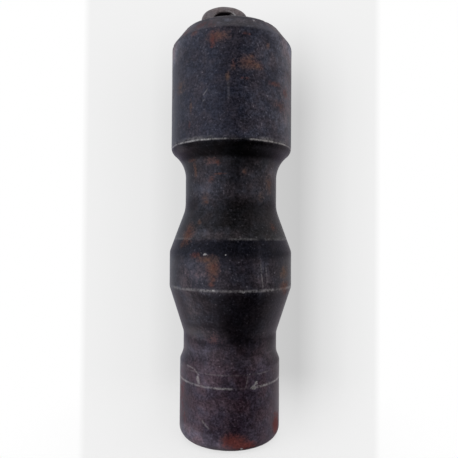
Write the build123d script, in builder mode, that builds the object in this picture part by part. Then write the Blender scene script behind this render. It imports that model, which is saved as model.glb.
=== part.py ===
from build123d import *

import math
import os

# A turned steel pin for a tractor hitch, standing on its lower end. All sizes are in millimetres.
# The origin is the centre of the lower end face, and +Z runs up the pin's axis to the lifting eye.

# Lower guide, the plain end that drops into the hitch's lower bushing
guide_diameter = 31.0
guide_length = 23.5
guide_end_rounding = 3.2
guide_top_rounding = 1.1

# Relief groove above the guide
relief_depth = 1.0
relief_run_in = 2.5
relief_length = 5.9
relief_lower_blend = 5.0
relief_upper_blend = 5.5

# Seat, the widest band, which a 40 mm towing eye rides on
seat_diameter = 38.0
seat_length = 10.8
seat_lower_cone_length = 13.9
seat_upper_cone_length = 13.0
seat_lower_rounding = 2.0
seat_upper_rounding = 3.0

# Waist between the seat and the barrel
waist_diameter = 28.5
waist_length = 13.9
waist_lower_blend = 10.5

# Shoulder, where the waist flares out under the barrel
shoulder_angle = 50.0
shoulder_straight = 0.15

# Barrel, the long upper cylinder that slides in the hitch body
barrel_diameter = 37.6
barrel_length = 32.1
barrel_lower_rounding = 3.0
barrel_upper_rounding = 1.4
top_chamfer_height = 4.75
top_chamfer_width = 3.6

# Lifting eye, forged in one with the pin, and left a little off the turned axis
eye_offset = -2.4
eye_thickness = 6.0
eye_slot_width = 7.4
eye_slot_height = 6.0
eye_side_wall = 3.7
eye_top_wall = 2.15
eye_floor = 1.05
eye_crown_radius = 11.2
eye_corner_radius = 4.2
eye_edge_rounding = 1.2
eye_slot_rounding = 0.4
eye_root_fillet = 0.4

# Radii
guide_radius = guide_diameter / 2
relief_radius = guide_radius - relief_depth
seat_radius = seat_diameter / 2
waist_radius = waist_diameter / 2
barrel_radius = barrel_diameter / 2
top_radius = barrel_radius - top_chamfer_width

# Heights above the lower end, one on the other
relief_bottom = guide_length + relief_run_in
relief_top = relief_bottom + relief_length
seat_bottom = relief_top + seat_lower_cone_length
seat_top = seat_bottom + seat_length
waist_bottom = seat_top + seat_upper_cone_length
waist_top = waist_bottom + waist_length
shoulder_rise = (barrel_radius - waist_radius) / math.tan(math.radians(shoulder_angle))
barrel_bottom = waist_top + shoulder_rise
barrel_top = barrel_bottom + barrel_length
top_face = barrel_top + top_chamfer_height

# The hollow under the barrel takes what the barrel's own rounding leaves of the shoulder's slope
shoulder_slope = (barrel_radius - waist_radius) / math.sin(math.radians(shoulder_angle))
half_turn_tangent = math.tan(math.radians(shoulder_angle) / 2)
shoulder_hollow = (shoulder_slope - shoulder_straight) / half_turn_tangent - barrel_lower_rounding

# Corners of the half section as (radius, height, rounding), from the lower face to the top face
section = [
    (0, 0, 0),
    (guide_radius, 0, guide_end_rounding),
    (guide_radius, guide_length, guide_top_rounding),
    (relief_radius, relief_bottom, relief_lower_blend),
    (relief_radius, relief_top, relief_upper_blend),
    (seat_radius, seat_bottom, seat_lower_rounding),
    (seat_radius, seat_top, seat_upper_rounding),
    (waist_radius, waist_bottom, waist_lower_blend),
    (waist_radius, waist_top, shoulder_hollow),
    (barrel_radius, barrel_bottom, barrel_lower_rounding),
    (barrel_radius, barrel_top, barrel_upper_rounding),
    (top_radius, top_face, 0),
    (0, top_face, 0),
]
corners = [(radius, height) for radius, height, rounding in section]
roundings = [rounding for radius, height, rounding in section[1:-1]]

# The eye's slot stands a thin floor above the top face, and its walls follow from the slot
slot_middle = top_face + eye_floor + eye_slot_height / 2
eye_half_width = eye_slot_width / 2 + eye_side_wall
eye_left = eye_offset - eye_half_width
eye_right = eye_offset + eye_half_width
eye_crown = slot_middle + eye_slot_height / 2 + eye_top_wall
crown_drop = eye_crown_radius - math.sqrt(eye_crown_radius**2 - eye_half_width**2)
eye_corner = eye_crown - crown_drop

with BuildPart() as coupling_pin:
    # Turned body
    with BuildSketch(Plane.XZ):
        with BuildLine():
            outline = FilletPolyline(corners, radius=roundings)
            Line(outline @ 1, outline @ 0)
        make_face()
    revolve(axis=Axis.Z)

    # Flat eye with a low arched crown, drawn from inside the barrel so that it grows out of it
    with BuildSketch(Plane.XZ):
        with BuildLine():
            crown = ThreePointArc((eye_left, eye_corner), (eye_offset, eye_crown), (eye_right, eye_corner))
            Polyline(crown @ 1, (eye_right, barrel_top), (eye_left, barrel_top), crown @ 0)
        make_face()
        fillet(vertices().group_by(Axis.Y)[-1], eye_corner_radius)
    extrude(amount=eye_thickness / 2, both=True)

    # Rounded outer edges of the eye, and the fillet round its foot
    eye_edges = faces().filter_by(Axis.Y).edges()
    fillet(eye_edges.filter_by_position(Axis.Z, top_face, eye_crown, (False, True)), eye_edge_rounding)
    face_edges = edges().filter_by_position(Axis.Z, top_face, top_face)
    fillet(face_edges.sort_by(Edge.length)[:-1], eye_root_fillet)

    # Slot through the eye, with rounded mouths
    with BuildSketch(Plane.XZ):
        with Locations((eye_offset, slot_middle)):
            SlotOverall(eye_slot_width, eye_slot_height)
    extrude(amount=eye_thickness, both=True, mode=Mode.SUBTRACT)
    mouths = [face.inner_wires()[0].edges() for face in faces().filter_by(Axis.Y)]
    fillet(mouths, eye_slot_rounding)

coupling_pin.part.label = "coupling_pin"

os.makedirs("parts", exist_ok=True)
export_step(coupling_pin.part, "parts/coupling_pin.step")
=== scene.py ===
"""A rusted, blackened steel hitch pin, standing on its lower end on a pale floor."""

import logging
import math
from collections.abc import Callable
from dataclasses import dataclass, field
from enum import Enum
from functools import cached_property
from itertools import accumulate
from typing import Any

import bmesh
import bpy
from bmesh.types import BMEdge, BMesh, BMVert
from mathutils import Matrix, Vector, noise


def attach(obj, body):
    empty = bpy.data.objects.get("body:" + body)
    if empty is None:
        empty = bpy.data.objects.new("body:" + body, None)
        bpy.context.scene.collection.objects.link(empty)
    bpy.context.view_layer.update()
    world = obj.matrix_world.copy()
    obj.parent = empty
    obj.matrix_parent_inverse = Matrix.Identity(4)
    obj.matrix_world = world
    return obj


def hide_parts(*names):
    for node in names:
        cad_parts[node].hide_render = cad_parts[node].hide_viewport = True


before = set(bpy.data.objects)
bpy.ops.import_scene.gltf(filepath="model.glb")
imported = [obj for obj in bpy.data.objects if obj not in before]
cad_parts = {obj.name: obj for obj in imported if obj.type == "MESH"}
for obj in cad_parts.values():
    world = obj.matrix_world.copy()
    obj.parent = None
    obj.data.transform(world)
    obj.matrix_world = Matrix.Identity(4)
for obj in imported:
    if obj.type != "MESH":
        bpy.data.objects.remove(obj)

MM = 0.001
WELD = 1e-6
NODE = "coupling_pin"
BODY = "root"

Number = float | int
Colour = tuple[float, float, float]
Point = tuple[float, float, float]
Span = tuple[float, float]
Settings = dict[str, Any]
Inputs = dict[str | int, Any]

log = logging.getLogger("tractor_pin")


class Layer(str, Enum):
    """Names of the painted layers that the steel finish reads from the mesh."""

    RUST = "rust"
    WARMTH = "warmth"
    HAZE = "haze"
    # Bare metal of chips, and of the slot's mouths with painted highlight growing towards their +X side.
    BARE_AND_HIGHLIGHT = "bare_and_highlight"
    # Painted shade inside the slot, where its ceiling lies in shadow.
    SLOT_SHADE = "painted_slot_shade"


@dataclass(frozen=True)
class Grain:
    """A cloudy noise.

    Attributes:
        scale: Clouds per millimetre.
        detail: Number of finer layers.
        rough: Weight of the finer layers.
    """

    scale: float
    detail: float
    rough: float = 0.5


def arithmetic(operation: str, number_first: bool = False) -> Callable[["Signal", Any], "Signal"]:
    """Makes a method of Signal that adds one Math node.

    Args:
        operation: What the node works out.
        number_first: Whether the other value, a plain number, comes before the signal.

    Returns:
        The method, which takes a signal or a number and gives the result as a signal.
    """

    def work_out(self: "Signal", other: "Signal | Number") -> "Signal":
        """Adds the node on the signal and the other value."""
        return self.sheet.math(operation, *((other, self) if number_first else (self, other)))

    return work_out


@dataclass(frozen=True)
class Signal:
    """One output in a node tree, with arithmetic that adds its Math nodes."""

    sheet: "Sheet"
    socket: bpy.types.NodeSocket

    __add__ = arithmetic("ADD")
    __radd__ = arithmetic("ADD", number_first=True)
    __sub__ = arithmetic("SUBTRACT")
    __rsub__ = arithmetic("SUBTRACT", number_first=True)
    __mul__ = arithmetic("MULTIPLY")
    __truediv__ = arithmetic("DIVIDE")
    largest = arithmetic("MAXIMUM")
    smallest = arithmetic("MINIMUM")

    def __abs__(self) -> "Signal":
        """Drops the sign."""
        return self.sheet.math("ABSOLUTE", self)

    def swing(self, amount: "Signal | Number") -> "Signal":
        """How far a noise is from its middle, times an amount."""
        return (self - 0.5) * amount

    def ease(self, start: Number, end: Number) -> "Signal":
        """A smooth mask that rises from 0 at start to 1 at end.

        Args:
            start: Value at which the mask leaves 0. It may be above end.
            end: Value at which the mask reaches 1.

        Returns:
            The mask. Where start is above end, it falls as the value grows.
        """
        if start > end:
            return 1.0 - self.ease(end, start)
        settings = {"interpolation_type": "SMOOTHSTEP"}
        inputs = {"Value": self, "From Min": start, "From Max": end, "To Min": 0.0, "To Max": 1.0}
        return self.sheet.signal("ShaderNodeMapRange", settings, inputs, "Result")


class Sheet:
    """The node tree of a material or of the world, with short ways of adding to it."""

    def __init__(self, tree: bpy.types.NodeTree) -> None:
        """Empties the tree."""
        self.tree = tree
        tree.nodes.clear()

    def feed(self, socket: bpy.types.NodeSocket, value: Any) -> None:
        """Links a signal to a socket, or sets a plain value on it."""
        if isinstance(value, Signal):
            self.tree.links.new(value.socket, socket)
        elif socket.type == "RGBA":
            socket.default_value = (*value, 1.0)
        else:
            socket.default_value = value

    def node(
        self,
        kind: str,
        settings: Settings | None = None,
        inputs: Inputs | None = None,
    ) -> bpy.types.Node:
        """Adds a node.

        Args:
            kind: Type of the node.
            settings: Its own settings, such as an operation, or stops for a ramp.
            inputs: Values or links of its sockets, by name or by place.

        Returns:
            The new node.
        """
        made = self.tree.nodes.new(kind)
        for name, value in (settings or {}).items():
            if name == "stops":
                self.set_stops(made.color_ramp, value)
            else:
                setattr(made, name, value)
        for name, value in (inputs or {}).items():
            self.feed(made.inputs[name], value)
        return made

    @staticmethod
    def set_stops(ramp: bpy.types.ColorRamp, stops: list[tuple[float, tuple[float, ...]]]) -> None:
        """Gives a colour ramp its stops, in rising order of place, each with its colour and alpha."""
        while len(ramp.elements) < len(stops):
            ramp.elements.new(1.0)
        for element, (place, colour) in zip(ramp.elements, stops):
            element.position = place
            element.color = colour

    def signal(
        self,
        kind: str,
        settings: Settings | None = None,
        inputs: Inputs | None = None,
        output: str | int = 0,
    ) -> Signal:
        """Adds a node and wraps one of its outputs."""
        return Signal(self, self.node(kind, settings, inputs).outputs[output])

    def math(self, operation: str, *values: Signal | Number) -> Signal:
        """Adds a Math node on the values."""
        return self.signal("ShaderNodeMath", {"operation": operation}, dict(enumerate(values)))

    def vector(self, operation: str, inputs: Inputs, output: str = "Vector") -> Signal:
        """Adds a Vector Math node."""
        return self.signal("ShaderNodeVectorMath", {"operation": operation}, inputs, output)

    def split(self, vector: Signal) -> list[Signal]:
        """The X, Y and Z of a vector."""
        parts = self.node("ShaderNodeSeparateXYZ", inputs={0: vector})
        return [Signal(self, parts.outputs[axis]) for axis in "XYZ"]

    def tint(self, factor: Signal | Number, below: Any, above: Any) -> Signal:
        """Mixes two colours. The factor is the share of the upper one."""
        return self.signal("ShaderNodeMix", {"data_type": "RGBA"}, {0: factor, 6: below, 7: above}, 2)

    def scaled(self, colour: Signal, amount: Signal | Number) -> Signal:
        """Makes a colour lighter or darker."""
        return self.vector("SCALE", {0: colour, "Scale": amount})

    def noise(self, place: Signal, grain: Grain) -> Signal:
        """Cloudy noise about 0.5, at coordinates in millimetres."""
        inputs = {"Vector": place, "Scale": grain.scale, "Detail": grain.detail, "Roughness": grain.rough}
        return self.signal("ShaderNodeTexNoise", inputs=inputs)

    def show_mix(
        self,
        factor: Signal,
        below: Signal,
        above: Signal,
        output: str = "ShaderNodeOutputMaterial",
    ) -> None:
        """Mixes two shaders, and makes the mix what the tree shows."""
        mixed = self.signal("ShaderNodeMixShader", inputs={0: factor, 1: below, 2: above})
        self.node(output, inputs={"Surface": mixed})


@dataclass(frozen=True)
class PinSizes:
    """The pin's real sizes in millimetres, from the lower face up."""

    guide_radius: float = 15.5
    guide_length: float = 23.5
    guide_end_rounding: float = 3.2
    guide_top_rounding: float = 1.1
    relief_depth: float = 1.0
    relief_run_in: float = 2.5
    relief_length: float = 5.9
    relief_lower_blend: float = 5.0
    relief_upper_blend: float = 5.5
    seat_radius: float = 19.0
    seat_length: float = 10.8
    seat_lower_cone: float = 13.9
    seat_upper_cone: float = 13.0
    seat_lower_rounding: float = 2.0
    seat_upper_rounding: float = 3.0
    waist_radius: float = 14.25
    waist_length: float = 13.9
    waist_lower_blend: float = 10.5
    shoulder_angle: float = 50.0
    shoulder_straight: float = 0.15
    barrel_radius: float = 18.8
    barrel_length: float = 32.1
    barrel_lower_rounding: float = 3.0
    barrel_upper_rounding: float = 1.4
    chamfer_height: float = 4.75
    chamfer_width: float = 3.6
    rim_rounding: float = 0.25

    @cached_property
    def corners(self) -> list[tuple[float, float, float]]:
        """Corners of the half section as radius, height and rounding, from the lower face to the top face."""
        relief_radius = self.guide_radius - self.relief_depth
        top_radius = self.barrel_radius - self.chamfer_width
        turn = math.radians(self.shoulder_angle)
        flare = self.barrel_radius - self.waist_radius
        slope = flare / math.sin(turn) - self.shoulder_straight
        hollow = slope / math.tan(turn / 2) - self.barrel_lower_rounding
        rises = (
            (0.0, 0.0, 0.0),
            (self.guide_radius, 0.0, self.guide_end_rounding),
            (self.guide_radius, self.guide_length, self.guide_top_rounding),
            (relief_radius, self.relief_run_in, self.relief_lower_blend),
            (relief_radius, self.relief_length, self.relief_upper_blend),
            (self.seat_radius, self.seat_lower_cone, self.seat_lower_rounding),
            (self.seat_radius, self.seat_length, self.seat_upper_rounding),
            (self.waist_radius, self.seat_upper_cone, self.waist_lower_blend),
            (self.waist_radius, self.waist_length, hollow),
            (self.barrel_radius, flare / math.tan(turn), self.barrel_lower_rounding),
            (self.barrel_radius, self.barrel_length, self.barrel_upper_rounding),
            (top_radius, self.chamfer_height, self.rim_rounding),
            (0.0, 0.0, 0.0),
        )
        heights = accumulate(rise for _, rise, _ in rises)
        return [(radius, height, rounding) for (radius, _, rounding), height in zip(rises, heights)]

    @cached_property
    def top_face(self) -> float:
        """Height of the top face."""
        return self.corners[-1][1]

    def wall_radius(self, height: float) -> float:
        """Radius of the unrounded section at a height, both in millimetres."""
        walls = self.corners[1:-1]
        for (below, low, _), (above, high, _) in zip(walls, walls[1:]):
            if low <= height <= high:
                return below + (above - below) * (height - low) / (high - low)
        return walls[-1][0]


@dataclass(frozen=True)
class EyeSizes:
    """The lifting eye's real sizes in millimetres.

    The margin is the width of the band of faces round the slot's mouths. The root is the part of the
    eye that stands in the barrel.
    """

    offset: float = -2.4
    thickness: float = 6.0
    slot_width: float = 7.4
    slot_height: float = 6.0
    side_wall: float = 3.7
    top_wall: float = 2.15
    floor: float = 1.05
    crown_radius: float = 11.2
    corner_radius: float = 4.2
    edge_rounding: float = 1.2
    slot_rounding: float = 0.4
    mouth_margin: float = 0.7
    root_fillet: float = 0.4
    root_depth: float = 1.5

    @property
    def slot_radius(self) -> float:
        """Radius of the slot's round ends."""
        return self.slot_height / 2

    @property
    def slot_straight(self) -> float:
        """Half the length of the slot's straight runs."""
        return self.slot_width / 2 - self.slot_radius


@dataclass(frozen=True)
class Spot:
    """A place on the turned surface.

    Attributes:
        angle: Degrees round the axis from the front, rising towards +X.
        height: Millimetres above the lower face.
        across: Half width round the pin, in millimetres.
        along: Half height, in millimetres.
    """

    angle: float
    height: float
    across: float
    along: float

    def reach(self, place: Vector) -> float:
        """How far a point in millimetres is from the middle: 0 there, and 1 on the outline."""
        angle = math.degrees(math.atan2(place.x, -place.y))
        turn = (angle - self.angle + 180.0) % 360.0 - 180.0
        sideways = math.radians(turn) * math.hypot(place.x, place.y) / self.across
        return math.hypot(sideways, (place.z - self.height) / self.along)


@dataclass(frozen=True)
class Patch(Spot):
    """One rusted, hazy or bare place. It fades out at twice its size.

    Attributes:
        strength: 1 for a solid patch, less for a broken one.
        warmth: For rust, 0 for red and 1 for yellow-brown.
    """

    strength: float = 1.0
    warmth: float = 0.5

    def cover(self, place: Vector) -> float:
        """The strength at the middle, half of it on the outline and 0 at twice the size."""
        return self.strength * max(0.0, 1.0 - self.reach(place) / 2.0)


@dataclass(frozen=True)
class Dent(Spot):
    """A small dent or nick pressed into the steel, with its depth in millimetres."""

    depth: float


@dataclass(frozen=True)
class Scratch:
    """A straight scratch on the turned surface, from one place to another.

    Attributes:
        start: Angle in degrees and height in millimetres of one end.
        end: Angle and height of the other end.
        width: Width in millimetres.
        strength: How bright it is, from 0 to 1.
    """

    start: tuple[float, float]
    end: tuple[float, float]
    width: float = 0.3
    strength: float = 1.0


@dataclass(frozen=True)
class WearAndHighlightRing:
    """A line worn bright round the pin. On the barrel's lower edge it is also a painted highlight.

    Attributes:
        height: Millimetres above the lower face.
        width: Half width in millimetres.
        strength: How bright it is, from 0 to 1.
        breaks: Share of the ring that noise takes away, from 0 to 1.
        gap: Angle in degrees of a stretch that isn't worn. On the barrel's lower edge it is painted shade,
            where that edge's reflection is dark.
        gap_reach: Half width of that stretch in degrees, 0 for none.
    """

    height: float
    width: float
    strength: float
    breaks: float
    gap: float = 0.0
    gap_reach: float = 0.0


def patches(*rows: tuple[float, ...]) -> tuple[Patch, ...]:
    """Makes patches from rows of angle, height, across, along, strength and, for rust, warmth."""
    return tuple(Patch(*row) for row in rows)


RUST = patches(
    (-16.5, 116.4, 1.0, 1.8, 0.95, 0.3), (-11.5, 116.9, 2.6, 1.4, 0.9, 0.6),
    (-17.5, 114.2, 0.5, 0.5, 0.8, 0.25), (11.5, 117.6, 0.7, 0.35, 0.85, 0.25),
    (15.5, 117.5, 0.5, 0.3, 0.8, 0.35), (33.0, 115.4, 0.6, 1.0, 0.75, 0.65),
    (15.0, 109.6, 2.6, 1.5, 0.85, 0.6), (22.0, 108.9, 1.8, 0.9, 0.85, 0.55),
    (17.5, 111.4, 0.8, 0.7, 0.8, 0.6), (1.5, 108.8, 0.6, 1.3, 0.75, 0.55),
    (-3.6, 105.6, 0.5, 1.0, 0.95, 0.7), (13.0, 105.0, 0.6, 0.4, 0.75, 0.35),
    (9.0, 105.2, 0.4, 0.3, 0.7, 0.25), (41.0, 104.9, 2.4, 0.7, 0.8, 0.5),
    (57.0, 103.5, 1.4, 1.2, 0.75, 0.5), (-53.0, 104.6, 2.0, 1.7, 0.65, 0.9),
    (-38.4, 98.2, 0.45, 1.8, 0.7, 0.8), (-40.0, 92.6, 0.4, 1.3, 0.65, 0.45),
    (-35.0, 119.0, 1.2, 0.8, 0.65, 0.45), (-30.0, 121.6, 2.4, 1.2, 0.6, 0.2),
    (-50.0, 120.6, 1.8, 1.2, 0.6, 0.2), (-18.0, 32.0, 2.4, 1.8, 0.4, 0.35),
    (-20.0, 120.6, 1.4, 0.9, 0.6, 0.35), (50.0, 99.0, 2.6, 1.6, 0.6, 0.55),
    (66.0, 105.0, 4.0, 7.5, 0.35, 0.3), (-72.0, 104.0, 3.0, 7.5, 0.3, 0.3),
    (-15.5, 82.4, 0.9, 0.7, 0.75, 0.4), (-21.0, 82.6, 2.2, 0.9, 0.58, 0.5),
    (-47.0, 81.0, 0.6, 2.2, 0.85, 0.65), (-49.0, 83.4, 1.6, 0.5, 0.7, 0.55),
    (15.7, 79.7, 0.5, 0.7, 0.8, 0.6), (-23.5, 77.6, 1.0, 0.9, 0.62, 0.45),
    (-13.5, 79.1, 1.4, 0.28, 0.85, 0.5), (52.5, 76.6, 1.3, 2.3, 0.78, 0.7),
    (38.5, 72.8, 1.1, 1.4, 0.48, 0.95), (-32.0, 72.2, 1.3, 1.7, 0.5, 0.7),
    (-30.0, 71.0, 0.7, 0.5, 0.85, 0.55), (-34.5, 65.2, 0.6, 0.6, 0.8, 0.7),
    (-46.0, 61.6, 1.8, 2.5, 0.95, 0.55), (-50.0, 58.8, 1.5, 0.9, 0.7, 0.6),
    (50.0, 64.0, 1.2, 1.3, 0.7, 0.55), (-31.0, 55.7, 1.5, 0.8, 0.7, 0.3),
    (-20.5, 54.6, 2.6, 0.8, 0.9, 0.75), (-14.5, 52.4, 1.6, 2.5, 1.05, 0.6),
    (-34.0, 49.5, 5.0, 4.0, 0.25, 0.3), (-14.8, 49.4, 0.9, 1.2, 0.85, 0.7),
    (-16.0, 47.9, 0.9, 0.7, 0.85, 0.35), (56.0, 50.8, 1.8, 1.5, 0.95, 0.95),
    (57.0, 46.8, 2.2, 1.3, 1.0, 0.6), (60.0, 45.2, 1.6, 0.9, 0.8, 0.5), (3.0, 3.8, 2.2, 1.6, 1.3, 0.2),
    (9.5, 3.0, 2.4, 1.5, 1.3, 0.05), (17.5, 2.3, 2.2, 1.0, 1.2, 0.0), (26.0, 1.8, 1.6, 0.6, 0.8, 0.0),
    (65.0, 5.3, 2.0, 2.3, 1.4, 0.1), (60.0, 8.2, 1.2, 1.0, 0.7, 0.3), (-68.0, 14.0, 2.4, 6.0, 0.55, 0.1),
    (-60.0, 7.5, 1.2, 1.5, 0.55, 0.2), (158.0, 112.0, 3.0, 1.8, 0.9, 0.65),
    (171.0, 106.0, 0.8, 2.6, 0.8, 0.6), (-140.0, 101.0, 2.4, 1.6, 0.85, 0.45),
    (-105.0, 116.0, 2.2, 1.2, 0.85, 0.5), (110.0, 95.0, 1.4, 2.4, 0.75, 0.7),
    (-170.0, 77.0, 1.8, 2.2, 0.85, 0.6), (120.0, 80.0, 1.0, 1.6, 0.8, 0.55),
    (-112.0, 62.0, 1.9, 2.1, 0.85, 0.5), (145.0, 52.0, 2.6, 1.7, 0.95, 0.6),
    (-150.0, 49.0, 1.6, 2.4, 0.85, 0.55), (95.0, 47.5, 2.2, 1.2, 0.85, 0.65),
    (-100.0, 20.0, 1.2, 2.2, 0.75, 0.4), (165.0, 4.0, 3.2, 1.8, 0.95, 0.15),
    (-125.0, 3.0, 2.6, 1.4, 0.85, 0.2), (130.0, 13.0, 1.0, 2.6, 0.75, 0.2),
)

HAZE = patches(
    (-24.0, 112.0, 1.2, 2.2, 0.6), (-20.0, 109.0, 1.6, 1.6, 0.45), (-2.8, 101.5, 0.6, 3.2, 0.5),
    (-26.0, 104.6, 1.2, 1.2, 0.4), (-23.0, 100.5, 1.6, 1.6, 0.35), (32.0, 97.0, 4.4, 6.0, 0.4),
    (24.0, 90.6, 3.4, 1.8, 0.8), (66.0, 97.0, 8.0, 6.5, 1.2), (66.0, 105.0, 8.0, 8.0, 1.2),
    (64.0, 114.0, 8.0, 6.0, 1.3), (71.0, 118.0, 7.0, 4.0, 3.0), (-5.0, 122.4, 0.9, 0.6, 1.4),
    (-12.5, 121.2, 0.5, 0.5, 1.2), (5.7, 122.7, 0.6, 0.3, 1.2), (22.5, 120.4, 0.9, 0.4, 1.2),
    (-36.0, 103.0, 10.0, 14.0, 0.22), (45.0, 96.5, 8.5, 5.5, 0.65), (45.0, 104.0, 8.5, 8.0, 0.6),
    (43.0, 113.0, 8.0, 6.0, 0.7), (-14.0, 116.8, 3.0, 1.8, 0.35), (36.0, 112.0, 5.0, 7.0, 0.45),
    (-74.0, 118.0, 6.0, 4.0, 3.0), (-66.0, 121.0, 8.0, 4.0, 1.8), (54.0, 121.5, 7.0, 3.5, 1.3),
    (10.0, 122.2, 2.0, 0.8, 0.5), (-39.0, 40.0, 4.4, 10.0, 0.7), (-80.0, 43.0, 5.0, 14.0, 0.5),
    (-80.0, 14.0, 5.0, 16.0, 0.8), (-34.0, 65.0, 5.0, 3.0, 0.2), (-21.0, 82.3, 2.0, 0.8, 0.9),
    (-27.0, 74.6, 4.6, 4.4, 0.75), (-26.0, 83.0, 5.0, 0.8, 0.5), (34.0, 82.6, 4.0, 0.8, 0.4),
    (37.0, 78.6, 5.0, 2.2, 0.4), (37.0, 73.6, 5.0, 3.2, 0.4), (62.0, 80.0, 4.0, 2.6, 0.9),
    (-56.0, 87.2, 2.6, 0.9, 0.5), (-31.0, 49.6, 5.6, 3.6, 0.95), (-26.0, 61.8, 7.5, 1.3, 0.9),
    (27.0, 51.0, 1.2, 4.4, 0.6), (33.0, 51.0, 0.8, 4.0, 0.5), (-38.0, 33.0, 5.0, 2.2, 1.1),
    (-19.0, 32.2, 2.6, 1.4, 0.8), (-27.0, 27.6, 5.5, 2.4, 1.1), (-25.0, 23.6, 5.5, 3.0, 1.0),
    (37.0, 30.5, 3.5, 3.5, 0.35), (-24.0, 20.0, 7.0, 3.0, 0.9), (-27.0, 11.0, 6.0, 10.0, 0.7),
    (37.0, 14.0, 4.5, 11.0, 0.55), (34.0, 24.0, 5.0, 4.0, 0.65), (-44.0, 2.6, 9.0, 2.8, 1.9),
    (62.0, 2.4, 4.0, 2.4, 0.7), (-14.0, 2.2, 4.0, 1.8, 0.5), (27.0, 18.8, 1.8, 1.6, 1.0),
    (21.0, 21.0, 0.7, 2.0, 0.8),
)

CHIPS = patches(
    (22.4, 122.8, 0.4, 0.35, 0.9), (31.0, 121.7, 0.3, 0.3, 0.5), (-33.0, 120.7, 0.25, 0.3, 0.55),
    (-22.0, 56.1, 0.7, 0.4, 0.75), (-25.0, 56.6, 0.5, 0.25, 0.65), (-4.2, 56.1, 0.35, 0.3, 0.75),
    (26.3, 18.4, 0.9, 0.6, 0.95), (29.5, 19.6, 0.5, 0.5, 0.85), (-36.0, 20.6, 0.3, 0.8, 0.7),
    (13.7, 1.3, 0.5, 0.35, 0.8), (21.0, 22.2, 0.8, 0.3, 0.6), (-14.5, 46.2, 0.7, 0.35, 0.75),
    (11.0, 45.9, 0.5, 0.35, 0.75), (150.0, 56.0, 0.8, 0.4, 0.75), (-95.0, 46.1, 0.9, 0.35, 0.75),
)

DENTS = (
    Dent(11.0, 45.9, 0.9, 0.7, 0.28),
    Dent(-15.0, 46.1, 1.1, 0.5, 0.16),
    Dent(13.7, 1.4, 0.9, 0.6, 0.22),
    Dent(-22.0, 56.2, 0.9, 0.6, 0.12),
    Dent(28.5, 18.7, 0.8, 0.7, 0.08),
    Dent(-36.0, 88.4, 1.0, 0.6, 0.14),
    Dent(33.0, 88.5, 0.9, 0.5, 0.16),
    Dent(-4.0, 56.1, 0.6, 0.5, 0.1),
    Dent(60.0, 110.0, 0.7, 0.9, 0.12),
    Dent(150.0, 88.6, 1.2, 0.6, 0.18),
    Dent(-120.0, 46.0, 1.1, 0.6, 0.2),
    Dent(100.0, 1.5, 1.0, 0.7, 0.2),
    Dent(-75.0, 119.3, 0.9, 0.8, 0.15),
    Dent(40.0, 123.9, 0.8, 0.4, 0.14),
)

SCRATCHES = (
    Scratch((-55.0, 23.4), (-42.0, 22.9), 0.35, 0.6),
    Scratch((-42.0, 22.9), (-34.0, 21.3), 0.35, 0.6),
    Scratch((-37.0, 21.0), (-34.5, 18.8), 0.8, 1.0),
    Scratch((26.0, 54.0), (29.0, 46.6), 0.35, 0.4),
    Scratch((31.5, 53.0), (33.5, 48.0), 0.3, 0.3),
    Scratch((-31.0, 8.9), (-21.5, 6.7), 0.45, 0.5),
    Scratch((20.0, 22.0), (17.0, 18.2), 0.3, 0.35),
    Scratch((-25.0, 100.6), (-21.0, 102.4), 0.3, 0.45),
    Scratch((-26.0, 98.8), (-23.5, 99.6), 0.3, 0.4),
    Scratch((-3.2, 104.3), (-2.2, 99.0), 0.5, 0.15),
)

RINGS = (
    # Barrel's lower edge: a bright line painted where its highlight falls, with a front gap where that
    # reflection is dark; partly wear, partly painted highlight and shade.
    WearAndHighlightRing(88.2, 0.22, 1.0, 0.7, 6.0, 11.0),
    WearAndHighlightRing(88.7, 0.5, 0.25, 1.0, 6.0, 20.0),
    WearAndHighlightRing(46.1, 0.35, 0.38, 0.8),
    WearAndHighlightRing(18.4, 0.28, 0.6, 0.6, 14.0, 12.0),
    WearAndHighlightRing(22.1, 0.2, 0.18, 1.0),
    WearAndHighlightRing(60.4, 0.3, 0.2, 1.0, -20.0, 20.0),
    WearAndHighlightRing(124.0, 0.2, 0.3, 0.8),
)


def flat_point(across: float, height: float) -> Vector:
    """A point of the XZ plane in metres, from its X and Z in millimetres."""
    return Vector((across, 0.0, height)) * MM


def new_points(made: dict[str, Any]) -> list[BMVert]:
    """The vertices that an extrusion made."""
    return [item for item in made["geom"] if isinstance(item, BMVert)]


def shift(moves: dict[BMVert, Vector]) -> None:
    """Moves vertices, all of them after the last move is known."""
    for vertex, move in moves.items():
        vertex.co += move


def clamped(share: float) -> float:
    """The share, kept between 0 and 1."""
    return min(1.0, max(0.0, share))


class Outline:
    """Flat outlines in the XZ plane, drawn with straight runs and true arcs."""

    def __init__(self) -> None:
        """Starts with nothing drawn."""
        self.mesh = bmesh.new()
        self.tip: BMVert | None = None

    def start(self, across: float, height: float) -> None:
        """Puts the pen down at a point, in millimetres."""
        self.tip = self.mesh.verts.new(flat_point(across, height))

    def run_to(self, across: float, height: float, steps: int) -> None:
        """Draws a straight run to a point.

        Args:
            across: The point's X in millimetres.
            height: The point's Z in millimetres.
            steps: Number of edges in the run.
        """
        begin = self.tip.co.copy()
        end = flat_point(across, height)
        for step in range(1, steps + 1):
            made = bmesh.ops.extrude_vert_indiv(self.mesh, verts=[self.tip])
            self.tip = made["verts"][0]
            self.tip.co = begin.lerp(end, step / steps)

    def turn_about(self, across: float, height: float, angle: float, steps: int) -> None:
        """Draws an arc about a centre.

        Args:
            across: The centre's X in millimetres.
            height: The centre's Z in millimetres.
            angle: Turn in radians, positive from +X towards +Z.
            steps: Number of edges in the arc.
        """
        made = bmesh.ops.spin(
            self.mesh,
            geom=[self.tip],
            cent=flat_point(across, height),
            axis=(0.0, -1.0, 0.0),
            angle=angle,
            steps=steps,
        )
        self.tip = made["geom_last"][0]

    def close(self) -> None:
        """Welds the ends of the outlines drawn so far."""
        bmesh.ops.remove_doubles(self.mesh, verts=self.mesh.verts[:], dist=WELD)


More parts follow.
